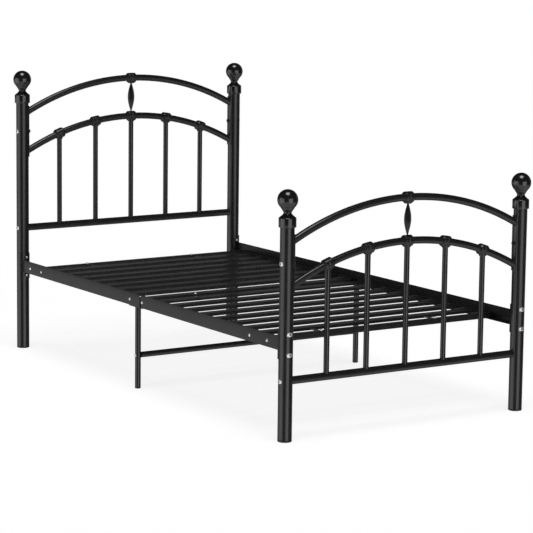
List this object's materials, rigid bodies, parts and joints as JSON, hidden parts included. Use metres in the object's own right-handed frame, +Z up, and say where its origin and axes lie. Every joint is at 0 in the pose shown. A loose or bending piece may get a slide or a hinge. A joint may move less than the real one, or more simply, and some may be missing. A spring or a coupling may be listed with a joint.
{
  "type": "bed frame",
  "caption": "Single metal bed frame with ball-topped round posts, arched spindle headboard and footboard, angle side rails and a slatted steel base.",
  "frame": {"origin": "on the floor, under the centre of the bed", "axes": "+X across the bed, +Y along the bed to the head end, +Z up"},
  "size_m": [1.082, 2.022, 1.134],
  "materials": {
    "black_steel": "satin black powder coat",
    "black_gloss": "glossy black enamel",
    "zinc_bolt": "bright zinc plating",
    "plastic_cap": "black moulded plastic"
  },
  "bodies": {
    "root": {"foot_bottom_bar": "black_steel", "foot_inner_arch": "black_steel", "foot_leaf_ornament": "black_steel", "foot_left_finial": "black_gloss", "foot_left_foot_cap": "plastic_cap", "foot_left_panel_bolt": "zinc_bolt", "foot_left_panel_plate": "black_steel", "foot_left_post": "black_steel", "foot_left_rail_bolt_lower": "zinc_bolt", "foot_left_rail_bolt_upper": "zinc_bolt", "foot_left_side_rail": "black_steel", "foot_right_finial": "black_gloss", "foot_right_foot_cap": "plastic_cap", "foot_right_panel_bolt": "zinc_bolt", "foot_right_panel_plate": "black_steel", "foot_right_post": "black_steel", "foot_right_rail_bolt_lower": "zinc_bolt", "foot_right_rail_bolt_upper": "zinc_bolt", "foot_right_side_rail": "black_steel", "foot_slatted_base": "black_steel", "foot_spindle_1": "black_steel", "foot_spindle_2": "black_steel", "foot_spindle_3": "black_steel", "foot_spindle_4": "black_steel", "foot_spindle_5": "black_steel", "foot_upper_arch": "black_steel", "head_bottom_bar": "black_steel", "head_inner_arch": "black_steel", "head_leaf_ornament": "black_steel", "head_left_finial": "black_gloss", "head_left_foot_cap": "plastic_cap", "head_left_panel_bolt": "zinc_bolt", "head_left_panel_plate": "black_steel", "head_left_post": "black_steel", "head_left_rail_bolt_lower": "zinc_bolt", "head_left_rail_bolt_upper": "zinc_bolt", "head_left_side_rail": "black_steel", "head_right_finial": "black_gloss", "head_right_foot_cap": "plastic_cap", "head_right_panel_bolt": "zinc_bolt", "head_right_panel_plate": "black_steel", "head_right_post": "black_steel", "head_right_rail_bolt_lower": "zinc_bolt", "head_right_rail_bolt_upper": "zinc_bolt", "head_right_side_rail": "black_steel", "head_slatted_base": "black_steel", "head_spindle_1": "black_steel", "head_spindle_2": "black_steel", "head_spindle_3": "black_steel", "head_spindle_4": "black_steel", "head_spindle_5": "black_steel", "head_upper_arch": "black_steel", "left_leg_cap": "plastic_cap", "left_middle_leg": "black_steel", "middle_crossbar": "black_steel", "right_leg_cap": "plastic_cap", "right_middle_leg": "black_steel"}
  },
  "joints": []
}
